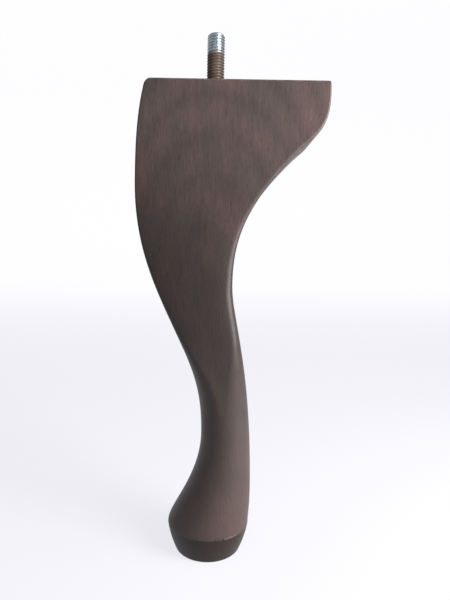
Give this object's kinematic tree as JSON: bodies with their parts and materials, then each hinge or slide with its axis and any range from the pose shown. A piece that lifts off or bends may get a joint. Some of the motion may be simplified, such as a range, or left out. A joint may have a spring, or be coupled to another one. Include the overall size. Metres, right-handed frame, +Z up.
{
  "type": "queen anne furniture leg",
  "caption": "Wooden Queen Anne furniture leg with a knee, rear wing, slender round ankle and turned pad foot, fastened by a threaded stud in its top.",
  "frame": {"origin": "centre of the turned foot's sole, on the floor, and on the axis of the bolt", "axes": "+Z up along the bolt, +X from the knee toward the wing, +Y across the thickness of the plank"},
  "size_m": [0.0799, 0.036, 0.225],
  "materials": {
    "stained_wood": "satin",
    "zinc_steel": "zinc plated"
  },
  "bodies": {
    "root": {"leg": "stained_wood", "hanger_bolt": "zinc_steel"}
  },
  "joints": []
}
